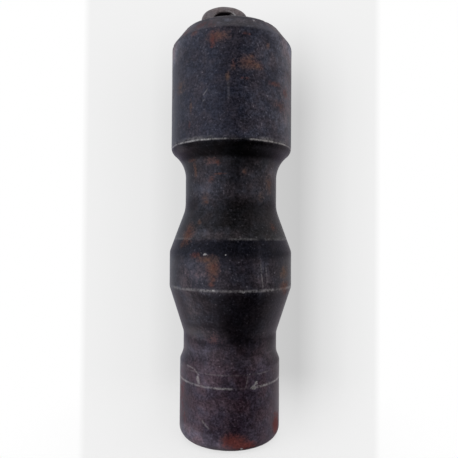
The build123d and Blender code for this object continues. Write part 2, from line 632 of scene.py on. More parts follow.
@dataclass
class TractorPin:
    """The whole pin: turned body, forged lifting eye, and their wear.

    Attributes:
        sizes: Sizes of the turned body.
        eye: Sizes of the lifting eye.
        pitch: Height of a row of faces on the turned walls, in millimetres.
        face_pitch: Width of a ring of faces on the flat ends, in millimetres.
        columns: Number of faces round the body.
        rim_segments: Number of faces across the eye's rounded outer edges.
        mouth_segments: Number of faces across the slot's rounded mouths.
        waviness: Depth of the slow unevenness left by forging and handling, in millimetres.
        forged_depth: Depth of the eye's rougher unevenness, in millimetres.
        slow_length: Length of the slow unevenness, in millimetres.
        rough_length: Length of the rougher unevenness, in millimetres.
        rough_share: Share of the rougher unevenness on the eye.
        dent_roundness: Power of a dent's slope, less than 1 for a steep side and a round bottom.
        rest_height: Height of the lowest part, which stays flat, in millimetres.
    """

    sizes: PinSizes = field(default_factory=PinSizes)
    eye: EyeSizes = field(default_factory=EyeSizes)
    pitch: float = 0.5
    face_pitch: float = 1.5
    columns: int = 256
    rim_segments: int = 6
    mouth_segments: int = 3
    waviness: float = 0.05
    forged_depth: float = 0.14
    slow_length: float = 6.0
    rough_length: float = 2.6
    rough_share: float = 0.65
    dent_roundness: float = 0.7
    rest_height: float = 0.02

    @cached_property
    def slot_middle(self) -> float:
        """Height of the slot's middle."""
        return self.sizes.top_face + self.eye.floor + self.eye.slot_radius

    @cached_property
    def eye_bottom(self) -> float:
        """Height at which the eye rises out of the fillet round its foot."""
        return self.sizes.top_face + self.eye.root_fillet

    def outline(self) -> Outline:
        """Half section of the turned body, as an open outline with both ends on the axis."""
        least_steps = 3
        corners = [(Vector((radius, height)), rounding) for radius, height, rounding in self.sizes.corners]
        pen = Outline()
        place = corners[0][0]
        pen.start(*place)
        for (before, _), (corner, rounding), (after, _) in zip(corners, corners[1:], corners[2:]):
            arriving = (corner - before).normalized()
            leaving = (after - corner).normalized()
            turn = math.atan2(arriving.cross(leaving), arriving.dot(leaving))
            arc_start = corner - arriving * rounding * math.tan(abs(turn) / 2)
            inward = Vector((-arriving.y, arriving.x)) * math.copysign(rounding, turn)
            length = (arc_start - place).length
            pitch = self.face_pitch if before.x == 0.0 else self.pitch
            pen.run_to(*arc_start, max(1, math.ceil(length / pitch)))
            steps = max(least_steps, math.ceil(abs(turn) * rounding / self.pitch))
            pen.turn_about(*(arc_start + inward), turn, steps)
            place = Vector((pen.tip.co.x, pen.tip.co.z)) / MM
        end = corners[-1][0]
        pen.run_to(*end, math.ceil((end - place).length / self.face_pitch))
        return pen

    def turn_body(self) -> bpy.types.Object:
        """Turns the half section round the axis into a closed body."""
        mesh = self.outline().mesh
        bmesh.ops.spin(
            mesh,
            geom=mesh.verts[:] + mesh.edges[:],
            cent=(0.0, 0.0, 0.0),
            axis=(0.0, 0.0, 1.0),
            angle=math.tau,
            steps=self.columns,
            use_merge=True,
        )
        return finished_object("turned_body", mesh)

    def eye_outlines(self) -> Outline:
        """Arch of the lifting eye and a margin round its slot, with as many edges in one as in the other."""
        eye = self.eye
        half_width = eye.slot_width / 2 + eye.side_wall
        left, right = eye.offset - half_width, eye.offset + half_width
        crown = self.slot_middle + eye.slot_radius + eye.top_wall
        crown_middle = crown - eye.crown_radius
        reach = eye.crown_radius - eye.corner_radius
        lean = math.asin((half_width - eye.corner_radius) / reach)
        shoulder = crown_middle + reach * math.cos(lean)
        foot = self.sizes.top_face - eye.root_depth
        side_steps, corner_steps, crown_steps, straight_steps = 12, 12, 24, 4
        round_steps = side_steps + corner_steps + crown_steps - straight_steps

        pen = Outline()
        pen.start(left, foot)
        pen.run_to(left, shoulder, side_steps)
        pen.turn_about(left + eye.corner_radius, shoulder, lean - math.pi / 2, corner_steps)
        pen.turn_about(eye.offset, crown_middle, -2 * lean, crown_steps)
        pen.turn_about(right - eye.corner_radius, shoulder, lean - math.pi / 2, corner_steps)
        pen.run_to(right, foot, side_steps)
        pen.run_to(left, foot, crown_steps)

        margin_radius = eye.slot_radius + eye.mouth_margin
        pen.start(eye.offset - eye.slot_straight, self.slot_middle + margin_radius)
        for side in (1, -1):
            end = eye.offset + eye.slot_straight * side
            pen.run_to(end, self.slot_middle + margin_radius * side, straight_steps)
            pen.turn_about(end, self.slot_middle, -math.pi, round_steps)
        pen.close()
        return pen

    def forge_eye(self) -> bpy.types.Object:
        """Makes the lifting eye, with rounded edges and a flared foot that sinks into the top face."""
        eye = self.eye
        mesh = self.eye_outlines().mesh
        bmesh.ops.bridge_loops(mesh, edges=mesh.edges[:])
        self.close_in_slot(mesh)
        bmesh.ops.translate(mesh, verts=mesh.verts[:], vec=(0.0, -eye.thickness / 2 * MM, 0.0))
        made = bmesh.ops.extrude_face_region(mesh, geom=mesh.faces[:])
        bmesh.ops.translate(mesh, verts=new_points(made), vec=(0.0, eye.thickness * MM, 0.0))
        bmesh.ops.recalc_face_normals(mesh, faces=mesh.faces[:])

        rims, mouths = self.eye_edges(mesh)
        roundings = (eye.edge_rounding, eye.slot_rounding)
        segments_across = (self.rim_segments, self.mouth_segments)
        for edges, rounding, segments in zip((rims, mouths), roundings, segments_across):
            bmesh.ops.bevel(
                mesh,
                geom=edges,
                offset=rounding * MM,
                offset_type="OFFSET",
                segments=segments,
                profile=0.5,
                affect="EDGES",
                material=-1,
            )
        self.refine(mesh)
        self.flare_foot(mesh)
        return finished_object("lifting_eye", mesh)

    def slot_reach(self, place: Vector) -> float:
        """Distance of a point from the slot's wall, in millimetres, positive outside the slot."""
        sideways = max(0.0, abs(place.x - self.eye.offset) - self.eye.slot_straight)
        return math.hypot(sideways, place.z - self.slot_middle) - self.eye.slot_radius

    def close_in_slot(self, mesh: BMesh) -> None:
        """Brings the flat eye's inner edge in from the margin to the slot's outline."""
        eye = self.eye
        left_end, right_end = eye.offset - eye.slot_straight, eye.offset + eye.slot_straight
        margin = [
            edge
            for edge in mesh.edges
            if edge.is_boundary and self.slot_reach(edge.verts[0].co / MM) < 2 * eye.mouth_margin
        ]
        made = bmesh.ops.extrude_edge_only(mesh, edges=margin)
        for vertex in new_points(made):
            centre = flat_point(min(max(vertex.co.x / MM, left_end), right_end), self.slot_middle)
            vertex.co = centre + (vertex.co - centre) * eye.slot_radius / (eye.slot_radius + eye.mouth_margin)

    def eye_edges(self, mesh: BMesh) -> tuple[list[BMEdge], list[BMEdge]]:
        """Sharp edges round the eye's arch and round the slot's mouths.

        Args:
            mesh: The extruded eye, before its edges are rounded.

        Returns:
            The arch's edges and the mouths' edges.
        """
        sharp = math.radians(60)
        rims, mouths = [], []
        for edge in mesh.edges:
            first, second = (vertex.co / MM for vertex in edge.verts)
            if edge.calc_face_angle(0.0) < sharp or abs(first.y - second.y) > self.eye.edge_rounding:
                continue
            on_slot = self.slot_reach((first + second) / 2) < self.eye.slot_rounding
            (mouths if on_slot else rims).append(edge)
        return rims, mouths

    def cuts_for(self, edge: BMEdge) -> int:
        """Number of cuts that divide an edge down to the pitch, 0 for an edge that is short enough."""
        pitches = edge.calc_length() / MM / self.pitch
        return max(1, round(pitches) - 1) if edge.calc_length() > 2 * self.pitch * MM else 0

    def refine(self, mesh: BMesh) -> None:
        """Divides the eye's long edges in two rounds, so that its surface can be made uneven."""
        for _ in range(2):
            for cuts in sorted({self.cuts_for(edge) for edge in mesh.edges} - {0}):
                chosen = [edge for edge in mesh.edges if self.cuts_for(edge) == cuts]
                bmesh.ops.subdivide_edges(mesh, edges=chosen, cuts=cuts, use_grid_fill=True)

    def flare_foot(self, mesh: BMesh) -> None:
        """Spreads the eye's foot into the small fillet where it meets the top face."""
        fillet = self.eye.root_fillet
        rows = (1.0, 0.7, 0.45, 0.25, 0.1, -0.05)
        for share in rows:
            level = flat_point(0.0, self.sizes.top_face + fillet * share)
            geometry = mesh.verts[:] + mesh.edges[:] + mesh.faces[:]
            bmesh.ops.bisect_plane(mesh, geom=geometry, plane_co=level, plane_no=(0.0, 0.0, 1.0), dist=WELD)
        mesh.normal_update()
        moves = {}
        for vertex in mesh.verts:
            rise = vertex.co.z / MM - self.sizes.top_face
            outward = Vector((vertex.normal.x, vertex.normal.y, 0.0))
            if rise < fillet and outward.length > 0.0:
                drop = fillet - max(rise, 0.0)
                spread = fillet - math.sqrt(fillet**2 - drop**2)
                moves[vertex] = outward.normalized() * spread * MM
        shift(moves)

    def join(self, body: bpy.types.Object, eye: bpy.types.Object) -> BMesh:
        """Makes the body and the eye one closed surface.

        Args:
            body: The turned body. It is used up.
            eye: The lifting eye. It is used up.

        Returns:
            The joined surface.
        """
        union = body.modifiers.new("eye", "BOOLEAN")
        union.operation = "UNION"
        union.solver = "MANIFOLD"
        union.object = eye
        bpy.context.view_layer.update()
        mesh = bmesh.new()
        mesh.from_object(body, bpy.context.evaluated_depsgraph_get())
        for spent in (body, eye):
            bpy.data.objects.remove(spent)
        bmesh.ops.dissolve_degenerate(mesh, edges=mesh.edges[:], dist=WELD)
        on_one_edge = [vertex for vertex in mesh.verts if len(vertex.link_edges) == 2]
        bmesh.ops.dissolve_verts(mesh, verts=on_one_edge)
        bmesh.ops.triangulate(mesh, faces=[face for face in mesh.faces if len(face.verts) > 4])
        bmesh.ops.recalc_face_normals(mesh, faces=mesh.faces[:])
        return mesh

    def weather(self, mesh: BMesh) -> None:
        """Presses dents and unevenness into the surface, always inwards."""
        mesh.normal_update()
        shift({vertex: vertex.normal * -self.depth_at(vertex.co / MM) * MM for vertex in mesh.verts})

    def depth_at(self, place: Vector) -> float:
        """How far the surface lies below its nominal place.

        Args:
            place: A point on the nominal surface, in millimetres.

        Returns:
            The depth in millimetres, 0 or more. It is 0 on the flat lower face that the pin stands on.
        """
        if place.z < self.rest_height:
            return 0.0
        slow = 0.5 + 0.5 * noise.noise(place / self.slow_length)
        if place.z > self.eye_bottom:
            rough = 0.5 + 0.5 * noise.noise(place / self.rough_length)
            return self.forged_depth * ((1.0 - self.rough_share) * slow + self.rough_share * rough)
        depth = self.waviness * slow
        for dent in DENTS:
            if abs(place.z - dent.height) < dent.along:
                depth += dent.depth * max(0.0, 1.0 - dent.reach(place)) ** self.dent_roundness
        return depth

    def paint_layers(self, mesh: BMesh) -> None:
        """Writes on the surface, for the finish to read: rust, its warmth, haze, bare metal with painted
        highlight on the slot's mouths, and painted shade inside the slot.
        """
        layers = {layer: mesh.verts.layers.float.new(layer.value) for layer in Layer}
        for vertex in mesh.verts:
            place = vertex.co / MM
            rust, warmth = self.strongest(RUST, place)
            vertex[layers[Layer.RUST]] = rust
            vertex[layers[Layer.WARMTH]] = warmth
            vertex[layers[Layer.HAZE]] = self.strongest(HAZE, place)[0]
            # Chips are bare metal. The slot's mouths are worn metal with painted highlight.
            vertex[layers[Layer.BARE_AND_HIGHLIGHT]] = max(self.strongest(CHIPS, place)[0], self.mouth_wear_and_highlight(place))
            vertex[layers[Layer.SLOT_SHADE]] = self.painted_slot_shade_at(place)

    def mouth_wear_and_highlight(self, place: Vector) -> float:
        """How far the slot's rounded mouths are worn bright at a point, with a painted highlight that grows
        towards the lit +X side.
        """
        if place.z < self.eye_bottom:
            return 0.0
        wear, highlight_per_mm = 0.45, 0.08
        band_middle, band_reach = 0.8, 1.6
        band = 1.0 - abs(self.slot_reach(place) / self.eye.slot_rounding - band_middle) / band_reach
        return max(0.0, band) * (wear + highlight_per_mm * max(0.0, place.x - self.eye.offset))

    def painted_slot_shade_at(self, place: Vector) -> float:
        """How much painted shade lies inside the slot, where its ceiling is in shadow, away from its mouths
        and from its lit +X side.
        """
        wall_thickness = 0.15
        if place.z < self.eye_bottom or self.slot_reach(place) > wall_thickness:
            return 0.0
        lit_side, lit_per_mm = 3.2, 0.45
        mouth_share, mouth_fade = 0.7, 0.3
        half_thickness = self.eye.thickness / 2
        shaded_side = self.eye.offset + lit_side - (place.y + half_thickness) * lit_per_mm - place.x
        inside = (half_thickness - self.eye.slot_rounding * mouth_share - abs(place.y)) / mouth_fade
        return clamped(shaded_side) * clamped(inside)

    @staticmethod
    def strongest(chosen: tuple[Patch, ...], place: Vector) -> tuple[float, float]:
        """The strongest of some patches at a point.

        Args:
            chosen: The patches.
            place: A point on the surface, in millimetres.

        Returns:
            The strength, and the mean warmth of the patches there, weighted by their strength.
        """
        near = [patch for patch in chosen if abs(place.z - patch.height) < 2 * patch.along]
        covers = [(patch.cover(place), patch.warmth) for patch in near]
        total = sum(cover for cover, _ in covers)
        if total == 0.0:
            return 0.0, Patch.warmth
        return max(cover for cover, _ in covers), sum(cover * warmth for cover, warmth in covers) / total

    def build(self) -> bpy.types.Object:
        """Builds the whole pin and dresses it.

        Returns:
            The pin, as one object at the origin.
        """
        mesh = self.join(self.turn_body(), self.forge_eye())
        self.weather(mesh)
        self.paint_layers(mesh)
        pin = finished_object("tractor_pin", mesh)
        pin.data.materials.append(BlackenedSteel().material(self.sizes))
        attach(pin, BODY)
        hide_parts(NODE)
        log.info("%s: %d faces", pin.name, len(pin.data.polygons))
        return pin


@dataclass(frozen=True)
class Zone:
    """One stop on the way up the pin.

    Attributes:
        height: Millimetres above the lower face.
        skin: Colour of the black skin there, which is painted shade where it is near black.
        dust: Share of haze and specks that shows there, kept low in the painted shade.
    """

    height: float
    skin: Colour
    dust: float


@dataclass(frozen=True)
class BlackenedSteel:
    """Turned steel blackened by oil and heat, with rust, haze and bright wear, and with painted shade and
    painted highlights.

    Attributes:
        zones: The stops of the black skin's colour, from the lower face up. Its near-black stops are painted
            shade.
        gloss: Colour of the skin's reflections.
        cool: Tint of the skin where it drifts one way, as is warm where it drifts the other.
        film_strength: Share of dust in the film at its thickest.
        least_specks: Share of specks where no dust shows.
        gap_rest: Share of a worn ring that is left in its gap.
        matt: Roughness of the clean skin.
        bump_depth: Depth of the fine relief, in millimetres.
        eye_heights: Heights between which the skin turns into the eye's more even one.
        purple_heights: Heights between which the haze turns purple, downwards.
        soft_half: Range that makes soft patches of a noise, on about half of the surface.
        groove_scale: Stretch that turns a noise into turning marks round the pin.
    """

    zones: tuple[Zone, ...] = (
        Zone(0.0, (0.006, 0.003, 0.005), 0.12),
        Zone(3.2, (0.013, 0.004, 0.010), 0.6),
        Zone(22.0, (0.013, 0.004, 0.010), 0.6),
        Zone(26.0, (0.009, 0.004, 0.007), 0.66),
        Zone(28.8, (0.007, 0.003, 0.006), 0.65),
        # Painted shade: near black on the seat's lower cone, which faces down.
        Zone(31.2, (0.002, 0.001, 0.003), 0.35),
        Zone(44.5, (0.002, 0.001, 0.003), 0.4),
        Zone(46.3, (0.007, 0.006, 0.010), 0.75),
        Zone(54.0, (0.006, 0.005, 0.010), 0.75),
        # Painted shade: near black in the band above the seat, where the reflection is dark.
        Zone(56.0, (0.001, 0.002, 0.006), 0.42),
        Zone(60.2, (0.001, 0.002, 0.006), 0.42),
        Zone(60.7, (0.009, 0.009, 0.008), 0.7),
        Zone(62.5, (0.004, 0.004, 0.003), 0.55),
        Zone(65.0, (0.004, 0.004, 0.004), 0.6),
        Zone(68.0, (0.003, 0.003, 0.003), 0.5),
        Zone(70.5, (0.002, 0.002, 0.002), 0.3),
        Zone(73.5, (0.003, 0.003, 0.005), 0.6),
        Zone(79.5, (0.003, 0.003, 0.005), 0.6),
        Zone(83.0, (0.004, 0.004, 0.005), 0.5),
        # Painted shade: near black on the shoulder under the barrel, which faces down.
        Zone(84.4, (0.001, 0.001, 0.001), 0.1),
        Zone(87.6, (0.001, 0.001, 0.001), 0.1),
        Zone(89.2, (0.005, 0.007, 0.016), 0.74),
        Zone(118.0, (0.005, 0.007, 0.016), 0.74),
        Zone(120.5, (0.006, 0.005, 0.008), 0.82),
        Zone(124.8, (0.006, 0.005, 0.008), 0.82),
        Zone(125.6, (0.148, 0.131, 0.130), 0.9),
    )
    rust_red: Colour = (0.150, 0.034, 0.026)
    rust_brown: Colour = (0.138, 0.084, 0.058)
    hazy: Colour = (0.142, 0.130, 0.158)
    purple_haze: Colour = (0.158, 0.126, 0.166)
    speck: Colour = (0.260, 0.245, 0.270)
    # Painted shade inside the slot: a near-black diffuse colour that takes the place of the steel.
    painted_slot_shade: Colour = (0.012, 0.009, 0.012)
    # Bare worn metal, also used for the painted highlights on the slot's mouths and the barrel's lower edge.
    bare_and_highlight: Colour = (0.420, 0.400, 0.400)
    gloss: Colour = (0.76, 0.70, 0.79)
    cool: Colour = (0.90, 1.00, 1.10)
    warm: Colour = (1.12, 0.97, 0.94)
    film_strength: float = 0.2
    haze_strength: float = 1.9
    speck_strength: float = 0.6
    least_specks: float = 0.12
    rust_strength: float = 0.78
    scratch_strength: float = 0.4
    gap_rest: float = 0.12
    matt: float = 0.40
    bump_depth: float = 0.14
    bump_strength: float = 0.6
    eye_heights: Span = (124.8, 125.6)
    purple_heights: Span = (34.0, 30.0)
    film_range: Span = (0.36, 0.74)
    speck_range: Span = (0.63, 0.74)
    soft_half: Span = (0.35, 0.65)
    groove_scale: Point = (0.12, 0.12, 2.2)
    groove_grain: Grain = Grain(1.0, 3.0)
    cloud_grain: Grain = Grain(0.13, 4.0, 0.6)
    drift_grain: Grain = Grain(0.24, 2.0)
    mottle_grain: Grain = Grain(0.55, 5.0, 0.7)
    grit_grain: Grain = Grain(1.6, 3.0, 0.7)
    worn_grain: Grain = Grain(0.22, 3.0, 0.6)

    def material(self, sizes: PinSizes) -> bpy.types.Material:
        """Builds the finish.

        Args:
            sizes: Sizes of the turned body, for the scratches that lie on its walls.

        Returns:
            The material.
        """
        made, sheet = new_material("blackened_steel")
        spot = sheet.signal("ShaderNodeTexCoord", output="Object")
        place = sheet.vector("SCALE", {0: spot, "Scale": 1.0 / MM})
        height = sheet.split(place)[2]
        stretched = sheet.vector("MULTIPLY", {0: place, 1: self.groove_scale})
        grooves = sheet.noise(stretched, self.groove_grain)
        cloud, drift, mottle, grit = (
            sheet.noise(place, grain)
            for grain in (self.cloud_grain, self.drift_grain, self.mottle_grain, self.grit_grain)
        )

        skin, dust = self.skin(height + mottle.swing(1.2))
        rust = self.rust_cover(mottle, grit)
        bright = self.bright_cover(place, sizes, mottle, grit)
        haze = self.layer(sheet, Layer.HAZE)
        film = mottle * 0.5 + grit * 0.5 + cloud.swing(0.4) + grooves.swing(0.1)
        film = film.ease(*self.film_range) * self.film_strength
        veil = film * dust + (film * 1.4 + 0.06) * haze * self.haze_strength
        specks = grit.ease(*self.speck_range) * cloud.ease(0.2, 0.55) * self.speck_strength

        even = height.ease(*self.eye_heights)
        dark, light = sheet.scaled(skin, 0.5 + even * 0.3), sheet.scaled(skin, 1.6 - even * 0.4)
        skin = sheet.tint(grit.ease(0.3, 0.7), dark, light)
        haze_colour = sheet.tint(height.ease(*self.purple_heights), self.hazy, self.purple_haze)
        skin = sheet.tint(veil, skin, haze_colour)
        drifted = drift.ease(*self.soft_half).swing(1.0 - even * 0.7) + 0.5
        skin = sheet.vector("MULTIPLY", {0: skin, 1: sheet.tint(drifted, self.cool, self.warm)})
        skin = sheet.tint((self.least_specks + dust * (1.0 - self.least_specks)) * specks, skin, self.speck)
        warmth = (self.layer(sheet, Layer.WARMTH) + mottle.swing(0.9)).ease(0.1, 0.9)
        flaky = sheet.scaled(sheet.tint(warmth, self.rust_red, self.rust_brown), 0.3 + grit * 1.4)
        colour = sheet.tint(bright, sheet.tint(rust, skin, flaky), self.bare_and_highlight)

        cover = (dust * (0.45 + grit * 0.6 + mottle * 0.5)).largest(haze).smallest(1.0) * (1.0 - rust * 0.5)
        roughness = self.matt + grit.swing(0.25) + mottle.swing(0.2) + haze * 0.1 + rust * 0.4 - bright * 0.08
        relief = mottle * 0.6 + grit * 0.5 + grooves * 0.3 + rust * (grit - 0.3) * 1.2
        inputs = {"Strength": self.bump_strength, "Distance": self.bump_depth * MM, "Height": relief}
        inputs = {
            "Base Color": colour,
            "Roughness": roughness,
            "Metallic": (1.0 - cover).largest(bright),
            "Normal": sheet.signal("ShaderNodeBump", inputs=inputs),
            "IOR": 1.5,
            "Specular Tint": self.gloss,
        }
        steel = sheet.signal("ShaderNodeBsdfPrincipled", inputs=inputs)
        # Painted shade: a black diffuse surface replaces the steel inside the slot.
        painted_slot_shade = sheet.signal("ShaderNodeBsdfDiffuse", inputs={"Color": self.painted_slot_shade})
        sheet.show_mix(self.layer(sheet, Layer.SLOT_SHADE), steel, painted_slot_shade)
        return made

    @staticmethod
    def layer(sheet: Sheet, layer: Layer) -> Signal:
        """Reads one painted layer from the mesh."""
        settings = {"attribute_type": "GEOMETRY", "attribute_name": layer.value}
        return sheet.signal("ShaderNodeAttribute", settings, output="Fac")

    def skin(self, height: Signal) -> tuple[Signal, Signal]:
        """Colour and dustiness of the black skin, with its painted shade.

        Args:
            height: Millimetres above the lower face.

        Returns:
            The colour, and the share of haze and specks that shows.
        """
        span = self.zones[-1].height
        stops = [(zone.height / span, (*zone.skin, zone.dust)) for zone in self.zones]
        ramp = height.sheet.node("ShaderNodeValToRGB", {"stops": stops}, {"Fac": height / span})
        return Signal(height.sheet, ramp.outputs["Color"]), Signal(height.sheet, ramp.outputs["Alpha"])

    def rust_cover(self, mottle: Signal, grit: Signal) -> Signal:
        """How much rust covers the steel.

        Args:
            mottle: Noise that breaks the patches up.
            grit: Fine noise that breaks them into dots.

        Returns:
            0 for none, and up to the rust's full strength.
        """
        painted = self.layer(mottle.sheet, Layer.RUST)
        broken = mottle.swing(1.3) + grit.swing(1.3)
        return (painted * 1.1 + broken * painted.ease(0.0, 0.3)).ease(0.12, 1.15) * self.rust_strength

    def bright_cover(self, place: Signal, sizes: PinSizes, mottle: Signal, grit: Signal) -> Signal:
        """How much bright worn metal shows, with painted highlight on the slot's mouths and on the barrel's
        lower edge.

        Args:
            place: Coordinates in millimetres.
            sizes: Sizes of the turned body.
            mottle: Noise that makes the rings waver.
            grit: Fine noise that breaks chips, rings and scratches up.

        Returns:
            0 for none and 1 for bare metal.
        """
        sheet = place.sheet
        cover = (self.layer(sheet, Layer.BARE_AND_HIGHLIGHT) + grit.swing(0.8)).ease(0.35, 0.65) * 0.9
        worn = sheet.noise(place, self.worn_grain)
        right, back, height = sheet.split(place)
        turn = sheet.math("ARCTAN2", right, back * -1.0)
        for ring in RINGS:
            line = abs(height - ring.height + mottle.swing(0.25)).ease(ring.width * 1.8, 0.0)
            broken = (1.0 - ring.breaks + worn.ease(*self.soft_half) * ring.breaks) * grit.ease(0.25, 0.6)
            if ring.gap_reach:
                away = abs(turn - math.radians(ring.gap))
                reach = math.radians(ring.gap_reach)
                outside = away.ease(reach * 0.75, reach * 1.15)
                broken = broken * (self.gap_rest + outside * (1.0 - self.gap_rest))
            cover = cover.largest(line * broken * ring.strength)
        for scratch in SCRATCHES:
            line = self.scratch_line(place, scratch, sizes)
            cover = cover.largest(line * grit.ease(0.3, 0.55) * scratch.strength * self.scratch_strength)
        return cover

    @staticmethod
    def scratch_line(place: Signal, scratch: Scratch, sizes: PinSizes) -> Signal:
        """One scratch as a soft line on the surface.

        Args:
            place: Coordinates in millimetres.
            scratch: The scratch.
            sizes: Sizes of the turned body, for the wall that it lies on.

        Returns:
            1 on the scratch, and 0 away from it and on the far side of the pin.
        """
        ends = []
        for angle, height in (scratch.start, scratch.end):
            turn = math.radians(angle)
            radius = sizes.wall_radius(height)
            ends.append(Vector((radius * math.sin(turn), -radius * math.cos(turn), height)))
        middle = (ends[0] + ends[1]) / 2
        length = (ends[1] - ends[0]).length
        along = (ends[1] - ends[0]).normalized()
        outward = Vector((middle.x, middle.y, 0.0)).normalized()
        across = along.cross(outward).normalized()
        lengthways, sideways, out = (
            place.sheet.vector("DOT_PRODUCT", {0: place, 1: axis}, "Value") - middle.dot(axis)
            for axis in (along, across, outward)
        )
        line = abs(sideways).ease(scratch.width, scratch.width * 0.2)
        fade_at_ends = abs(lengthways).ease(length * 0.55, length * 0.35)
        near_wall = (-6.0, -4.0)
        return line * fade_at_ends * out.ease(*near_wall)


@dataclass(frozen=True)
class Panel:
    """A flat rectangle that faces a point.

    Attributes:
        name: The panel's name.
        place: Where its middle is, in metres.
        aim: The point that it faces, in metres.
        width: Width in metres.
        depth: Height of its face in metres.
    """

    name: str
    place: Point
    aim: Point
    width: float
    depth: float

    def placement(self) -> Matrix:
        """Puts the middle in its place, with the -Z side towards the point."""
        towards = Vector(self.aim) - Vector(self.place)
        return Matrix.Translation(self.place) @ towards.to_track_quat("-Z", "Y").to_matrix().to_4x4()


@dataclass(frozen=True)
class SoftLamp(Panel):
    """A soft rectangular lamp.

    Attributes:
        power: Power in watts.
        colour: Colour of its light.
    """

    power: float
    colour: Colour = (1.0, 1.0, 1.0)

    def build(self) -> None:
        """Puts the lamp in the scene."""
        light = bpy.data.lights.new(self.name, "AREA")
        light.shape = "RECTANGLE"
        light.size = self.width
        light.size_y = self.depth
        light.energy = self.power
        light.color = self.colour
        new_object(self.name, light).matrix_world = self.placement()


@dataclass(frozen=True)
class DarkCard(Panel):
    """A black card that only shows in the steel's gloss, as in a product studio."""

    def build(self, material: bpy.types.Material) -> None:
        """Puts the card in the scene, with its finish."""
        mesh = bmesh.new()
        bmesh.ops.create_grid(mesh, x_segments=1, y_segments=1, size=0.5)
        bmesh.ops.scale(mesh, verts=mesh.verts[:], vec=(self.width, self.depth, 1.0))
        bmesh.ops.transform(mesh, verts=mesh.verts[:], matrix=self.placement())
        card = finished_object(self.name, mesh, smooth=False)
        card.data.materials.append(material)
        for rays in ("camera", "diffuse", "transmission", "volume_scatter", "shadow"):
            setattr(card, f"visible_{rays}", False)


@dataclass(frozen=True)
class Tone:
    """One stop of a grey gradient, from left to right.

    Attributes:
        side: Where the stop is, in the unit of the gradient.
        grey: How light it is, from 0 to 1.
        warmth: Share added to its red and taken from its blue.
    """

    side: float
    grey: float
    warmth: float = 0.0

    @property
    def colour(self) -> Colour:
        """The grey with its warmth."""
        return (self.grey * (1.0 + self.warmth), self.grey, self.grey * (1.0 - self.warmth))


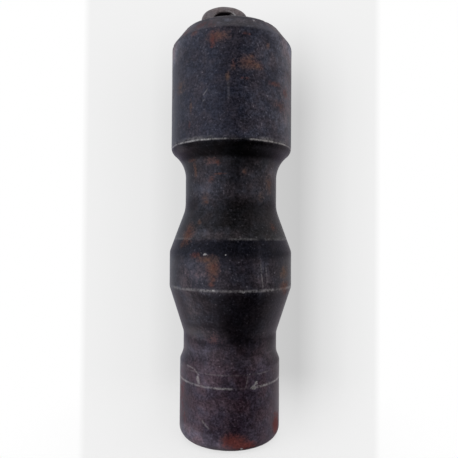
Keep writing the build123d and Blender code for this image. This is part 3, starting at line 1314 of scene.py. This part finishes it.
@dataclass(frozen=True)
class Studio:
    """Pale floor, a backdrop with a painted shadow beside the pin, soft light and dark cards.

    Attributes:
        reflected: What the steel's gloss shows, from the left to the right of the room.
        backdrop: What the camera sees beside the pin, by sideways slope of its view: a painted soft shadow,
            darkest right of the pin and fainter on its left.
        clean_paper: The same above and below the pin, where no shadow falls.
        plain_paper: The backdrop outside the photograph's view.
        foreground: What the gloss shows from below.
        ceiling_colour: What the gloss shows from above.
        floor_show: How much of the floor the camera sees by the pin.
        floor_fade: Distances in metres between which the floor fades into the backdrop.
        ceiling_rise: Directions between which the ceiling begins, as is foreground_fall downwards.
        clean_above: Slopes of view between which the backdrop turns clean, as is clean_below.
        view_back: Directions between which the photograph's view begins. It ends by the slopes
            of view_across and view_up.
    """

    reflected: tuple[Tone, ...] = (
        Tone(-1.0, 0.62, -0.07),
        Tone(-0.5, 0.76, -0.06),
        Tone(0.4, 0.70),
        Tone(1.0, 0.30, 0.04),
    )
    backdrop: tuple[Tone, ...] = (
        Tone(-0.33, 1.0),
        Tone(-0.315, 0.87),
        Tone(-0.18, 0.82),
        Tone(-0.12, 0.72),
        Tone(0.15, 0.57),
        Tone(0.20, 0.73),
        Tone(0.26, 0.83),
        Tone(0.315, 0.87),
        Tone(0.33, 1.0),
    )
    clean_paper: tuple[Tone, ...] = (
        Tone(-0.33, 1.0),
        Tone(-0.315, 0.885),
        Tone(0.315, 0.885),
        Tone(0.33, 1.0),
    )
    plain_paper: Colour = (0.90, 0.90, 0.90)
    foreground: Colour = (0.93, 0.92, 0.91)
    ceiling_colour: Colour = (0.26, 0.26, 0.28)
    floor_colour: Colour = (0.90, 0.90, 0.90)
    floor_show: float = 0.22
    card_colour: Colour = (0.004, 0.004, 0.004)
    world_light: float = 0.95
    floor_radius: float = 0.5
    floor_fade: Span = (0.022, 0.075)
    ceiling_rise: Span = (0.4, 0.85)
    foreground_fall: Span = (-0.1, -0.5)
    clean_above: Span = (0.26, 0.54)
    clean_below: Span = (-0.28, -0.47)
    view_back: Span = (0.35, 0.6)
    view_across: Span = (0.7, 0.53)
    view_up: Span = (0.75, 0.54)
    lamps: tuple[SoftLamp, ...] = (
        SoftLamp("left_softbox", (-0.55, -0.25, 0.22), (0.0, 0.0, 0.07), 0.5, 0.6, 0.3, (0.97, 0.98, 1.0)),
        SoftLamp("right_softbox", (0.5, 0.1, 0.2), (0.0, 0.0, 0.07), 0.5, 0.6, 0.24, (1.0, 0.97, 0.93)),
        SoftLamp("top_softbox", (0.0, -0.05, 0.6), (0.0, 0.0, 0.1), 0.6, 0.6, 0.4),
    )
    cards: tuple[DarkCard, ...] = (
        DarkCard("front_card", (0.115, -0.425, 0.17), (0.0, 0.0, 0.07), 0.36, 0.55),
        DarkCard("brow_card", (0.08, -0.34, 0.42), (0.0, 0.0, 0.07), 0.5, 0.32),
        DarkCard("table_card", (0.126, -0.2025, 0.002), (0.126, -0.2025, 0.5), 0.28, 0.37),
    )

    def build(self) -> None:
        """Builds the whole studio."""
        self.light_world()
        self.lay_floor()
        for lamp in self.lamps:
            lamp.build()
        black, sheet = new_material("black_card")
        face = sheet.signal("ShaderNodeEmission", inputs={"Color": self.card_colour})
        sheet.node("ShaderNodeOutputMaterial", inputs={"Surface": face})
        for card in self.cards:
            card.build(black)
        log.info("studio: %d lamps, %d cards", len(self.lamps), len(self.cards))

    def light_world(self) -> None:
        """Lights the scene evenly, and gives the camera and the steel's gloss their own surroundings."""
        world = bpy.data.worlds.new("pale_studio")
        world.use_nodes = True
        bpy.context.scene.world = world
        sheet = Sheet(world.node_tree)
        right, back, up = sheet.split(sheet.signal("ShaderNodeTexCoord", output="Generated"))
        mirrored = self.gradient(right, self.reflected)
        mirrored = sheet.tint(up.ease(*self.ceiling_rise), mirrored, self.ceiling_colour)
        mirrored = sheet.tint(up.ease(*self.foreground_fall), mirrored, self.foreground)
        across, slope = right / back, up / back
        # Painted shadow: the camera's backdrop darkens beside the pin and turns clean above and below it.
        shaded, clean = (self.gradient(across, tones) for tones in (self.backdrop, self.clean_paper))
        beyond_pin = slope.ease(*self.clean_below).largest(slope.ease(*self.clean_above))
        paper = sheet.tint(beyond_pin, shaded, clean)
        in_view = back.ease(*self.view_back) * abs(across).ease(*self.view_across)
        paper = sheet.tint(in_view * abs(slope).ease(*self.view_up), self.plain_paper, paper)
        rays = sheet.node("ShaderNodeLightPath")
        kinds = ("Is Camera Ray", "Is Glossy Ray", "Is Transmission Ray")
        camera, glossy, through = (Signal(sheet, rays.outputs[kind]) for kind in kinds)
        seen = camera.largest(glossy).largest(through)
        plain = {"Color": (1.0, 1.0, 1.0), "Strength": self.world_light}
        pale = {"Color": sheet.tint(glossy, paper, mirrored), "Strength": 1.0}
        lights = [sheet.signal("ShaderNodeBackground", inputs=inputs) for inputs in (plain, pale)]
        sheet.show_mix(seen, *lights, "ShaderNodeOutputWorld")

    @staticmethod
    def gradient(side: Signal, tones: tuple[Tone, ...]) -> Signal:
        """A grey gradient.

        Args:
            side: The value that runs from the first tone's side to the last one's.
            tones: The stops.

        Returns:
            The grey, as a colour.
        """
        start, span = tones[0].side, tones[-1].side - tones[0].side
        stops = [((tone.side - start) / span, (*tone.colour, 1.0)) for tone in tones]
        inputs = {"Fac": (side - start) / span}
        return side.sheet.signal("ShaderNodeValToRGB", {"stops": stops}, inputs, "Color")

    def lay_floor(self) -> None:
        """Lays a pale floor that keeps the shadow and fades into the backdrop."""
        mesh = bmesh.new()
        bmesh.ops.create_circle(mesh, cap_ends=True, segments=96, radius=self.floor_radius)
        floor = finished_object("floor", mesh, smooth=False)
        made, sheet = new_material("pale_floor")
        spot = sheet.signal("ShaderNodeTexCoord", output="Object")
        far = sheet.vector("LENGTH", {0: spot}, "Value").ease(*self.floor_fade)
        mirrored = sheet.signal("ShaderNodeLightPath", output="Is Glossy Ray")
        far = 1.0 - (1.0 - far) * mirrored.largest(self.floor_show)
        paper = sheet.signal("ShaderNodeBsdfDiffuse", inputs={"Color": self.floor_colour})
        sheet.show_mix(far, paper, sheet.signal("ShaderNodeBsdfTransparent"))
        floor.data.materials.append(made)


@dataclass(frozen=True)
class PhotoCamera:
    """The camera, set where the photograph was taken from.

    Attributes:
        place: Where the lens is, in metres.
        turn: Turn to the left, in degrees.
        tilt: Tilt upwards, in degrees.
        roll: Roll anticlockwise, in degrees.
        lens: Focal length in millimetres, for a sensor 36 mm wide.
    """

    place: Point = (0.0, -0.143623, 0.061014)
    turn: float = 0.2075
    tilt: float = 1.005
    roll: float = 0.4268
    lens: float = 35.736

    def build(self) -> None:
        """Puts the camera in the scene and makes it the one in use."""
        data = bpy.data.cameras.new("photo_camera")
        data.lens = self.lens
        data.sensor_width = 36.0
        data.clip_start = 0.005
        camera = new_object("photo_camera", data)
        turned, upright, rolled = (
            Matrix.Rotation(math.radians(angle), 4, axis)
            for angle, axis in ((self.turn, "Z"), (90.0 + self.tilt, "X"), (self.roll, "Z"))
        )
        camera.matrix_world = Matrix.Translation(self.place) @ turned @ upright @ rolled
        bpy.context.scene.camera = camera


def new_object(name: str, data: bpy.types.ID) -> bpy.types.Object:
    """Makes an object at the origin and links it to the scene."""
    made = bpy.data.objects.new(name, data)
    bpy.context.scene.collection.objects.link(made)
    return made


def new_material(name: str) -> tuple[bpy.types.Material, Sheet]:
    """Makes a material, and the empty sheet of its nodes."""
    made = bpy.data.materials.new(name)
    made.use_nodes = True
    return made, Sheet(made.node_tree)


def finished_object(name: str, mesh: BMesh, smooth: bool = True) -> bpy.types.Object:
    """Makes an object at the origin from a finished mesh.

    Args:
        name: The object's name.
        mesh: The mesh, in metres. It is used up.
        smooth: Whether its faces are shaded smooth.

    Returns:
        The object.
    """
    bmesh.ops.remove_doubles(mesh, verts=mesh.verts[:], dist=WELD)
    if smooth:
        bmesh.ops.recalc_face_normals(mesh, faces=mesh.faces[:])
    for face in mesh.faces:
        face.smooth = smooth
    data = bpy.data.meshes.new(name)
    mesh.to_mesh(data)
    mesh.free()
    return new_object(name, data)


def main() -> None:
    """Builds the studio, the camera and the pin."""
    logging.basicConfig(level=logging.INFO, format="%(name)s: %(message)s")
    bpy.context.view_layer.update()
    bpy.context.scene.view_settings.view_transform = "Standard"
    PhotoCamera().build()
    Studio().build()
    TractorPin().build()


if __name__ == "__main__":
    main()
